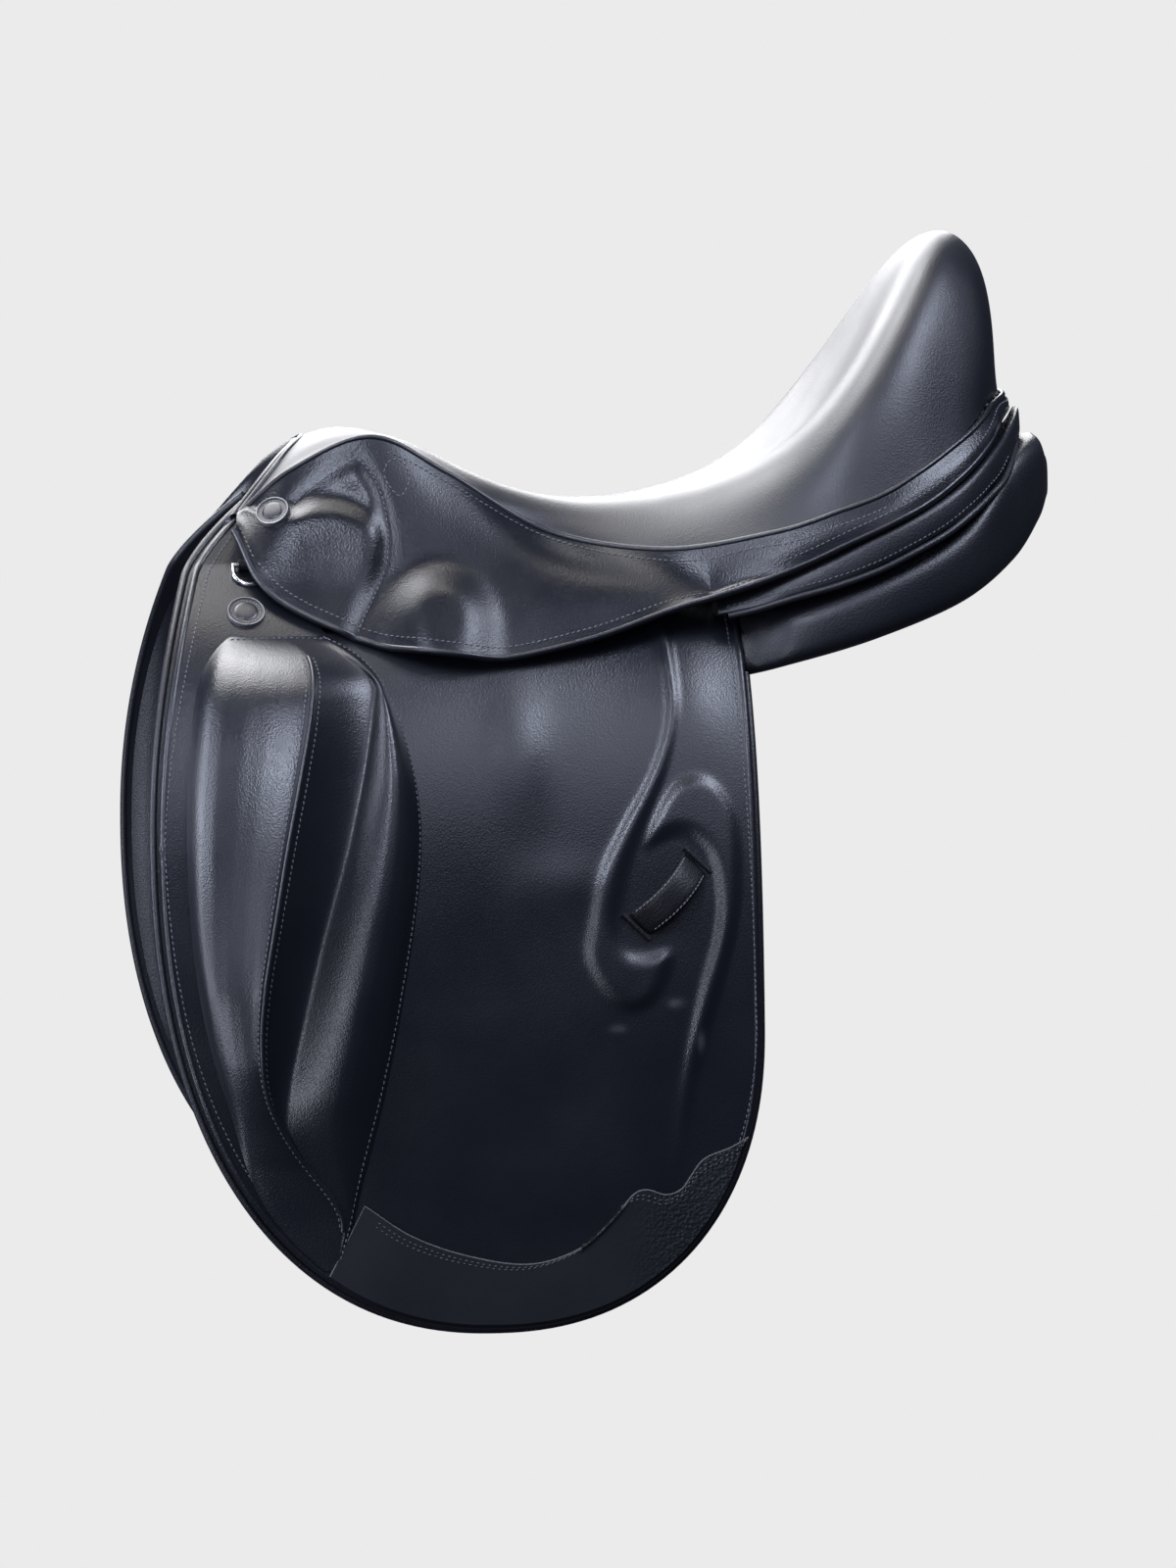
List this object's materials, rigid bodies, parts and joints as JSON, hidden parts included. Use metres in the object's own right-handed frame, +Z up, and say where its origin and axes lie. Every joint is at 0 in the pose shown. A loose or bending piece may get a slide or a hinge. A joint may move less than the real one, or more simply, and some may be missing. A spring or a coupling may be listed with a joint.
{
  "type": "dressage saddle",
  "caption": "Dressage saddle with deep dished seat, long straight flaps, outer knee blocks, spring tree, hinged stirrup-bar catches, flocked panels and girth straps.",
  "frame": {"origin": "middle plane of the saddle at the roof of the gullet, where it stands over the horse's spine", "axes": "+X from pommel to cantle, +Y to the off (right) side, +Z up"},
  "size_m": [0.539, 0.4324, 0.6341],
  "materials": {
    "leather": "smooth black calf, satin, lightly worn",
    "grained": "pebble-grained black leather",
    "strap": "waxed black strap leather",
    "flocked": "wool flock in a soft black leather cover",
    "foam": "moulded latex foam",
    "web": "woven webbing",
    "wood": "laminated beech",
    "steel": "forged and brushed",
    "bright": "polished plate"
  },
  "bodies": {
    "saddle": {"tree_frame": "wood", "gullet_plate": "steel", "gullet_rivets": "steel", "springs": "steel", "spring_rivets": "steel", "stirrup_bar_left": "steel", "stirrup_bar_right": "steel", "catch_pins": "steel", "seat_webbing": "web", "seat_foam": "foam", "seat_cover": "leather", "seat_welt": "leather", "head_facing": "leather", "skirt_band_left": "leather", "skirt_band_right": "leather", "skirt_badges": "bright", "flap_head_left": "leather", "flap_head_right": "leather", "dee_chape_left": "leather", "dee_chape_right": "leather", "girth_webs": "web", "sweat_flap_left": "leather", "sweat_flap_right": "leather", "point_pockets": "leather", "knee_pad_left": "flocked", "knee_pad_right": "flocked", "panel_left": "flocked", "panel_right": "flocked", "rear_gusset_left": "flocked", "rear_gusset_right": "flocked", "gullet_lining": "leather"},
    "flap_left": {"flap_left": "leather", "flap_binding_left": "leather", "flap_patch_left": "grained", "knee_core_left": "foam", "knee_cover_left": "leather", "keeper_left": "leather", "flap_badge_left": "bright"},
    "skirt_left": {"skirt_left": "leather"},
    "bar_catch_left": {"bar_catch_left": "steel"},
    "dee_left": {"dee_left": "bright"},
    "front_strap_left": {"front_strap_left": "strap"},
    "rear_strap_left": {"rear_strap_left": "strap"},
    "flap_right": {"flap_right": "leather", "flap_binding_right": "leather", "flap_patch_right": "grained", "knee_core_right": "foam", "knee_cover_right": "leather", "keeper_right": "leather", "flap_badge_right": "bright"},
    "skirt_right": {"skirt_right": "leather"},
    "bar_catch_right": {"bar_catch_right": "steel"},
    "dee_right": {"dee_right": "bright"},
    "front_strap_right": {"front_strap_right": "strap"},
    "rear_strap_right": {"rear_strap_right": "strap"}
  },
  "joints": [
    {"name": "flap_left_lift", "type": "hinge", "parent": "saddle", "child": "flap_left", "pos_m": [-0.225, -0.092, 0.012], "axis": [-0.9897, 0.125, 0.0695], "range_deg": [0, 70]},
    {"name": "skirt_left_lift", "type": "hinge", "parent": "flap_left", "child": "skirt_left", "pos_m": [-0.225, -0.092, 0.012], "axis": [-0.9897, 0.125, 0.0695], "range_deg": [0, 40]},
    {"name": "bar_catch_left_turn", "type": "hinge", "parent": "saddle", "child": "bar_catch_left", "pos_m": [-0.0996, -0.0975, -0.01], "axis": [0, -1, 0], "range_deg": [0, 90]},
    {"name": "dee_left_swing", "type": "hinge", "parent": "saddle", "child": "dee_left", "pos_m": [-0.21, -0.08446, 0.00685], "axis": [-1, 0, 0], "range_deg": [0, 6]},
    {"name": "front_strap_left_swing", "type": "hinge", "parent": "saddle", "child": "front_strap_left", "pos_m": [-0.062, -0.1157, -0.0407], "axis": [0, 1, 0], "range_deg": [-3, 3]},
    {"name": "rear_strap_left_swing", "type": "hinge", "parent": "saddle", "child": "rear_strap_left", "pos_m": [0.008, -0.1157, -0.0407], "axis": [0, 1, 0], "range_deg": [-3, 3]},
    {"name": "flap_right_lift", "type": "hinge", "parent": "saddle", "child": "flap_right", "pos_m": [-0.225, 0.092, 0.012], "axis": [0.9897, 0.125, -0.0695], "range_deg": [0, 70]},
    {"name": "skirt_right_lift", "type": "hinge", "parent": "flap_right", "child": "skirt_right", "pos_m": [-0.225, 0.092, 0.012], "axis": [0.9897, 0.125, -0.0695], "range_deg": [0, 40]},
    {"name": "bar_catch_right_turn", "type": "hinge", "parent": "saddle", "child": "bar_catch_right", "pos_m": [-0.0996, 0.0975, -0.01], "axis": [0, -1, 0], "range_deg": [0, 90]},
    {"name": "dee_right_swing", "type": "hinge", "parent": "saddle", "child": "dee_right", "pos_m": [-0.21, 0.08446, 0.00685], "axis": [1, 0, 0], "range_deg": [0, 6]},
    {"name": "front_strap_right_swing", "type": "hinge", "parent": "saddle", "child": "front_strap_right", "pos_m": [-0.062, 0.1157, -0.0407], "axis": [0, 1, 0], "range_deg": [-3, 3]},
    {"name": "rear_strap_right_swing", "type": "hinge", "parent": "saddle", "child": "rear_strap_right", "pos_m": [0.008, 0.1157, -0.0407], "axis": [0, 1, 0], "range_deg": [-3, 3]}
  ]
}
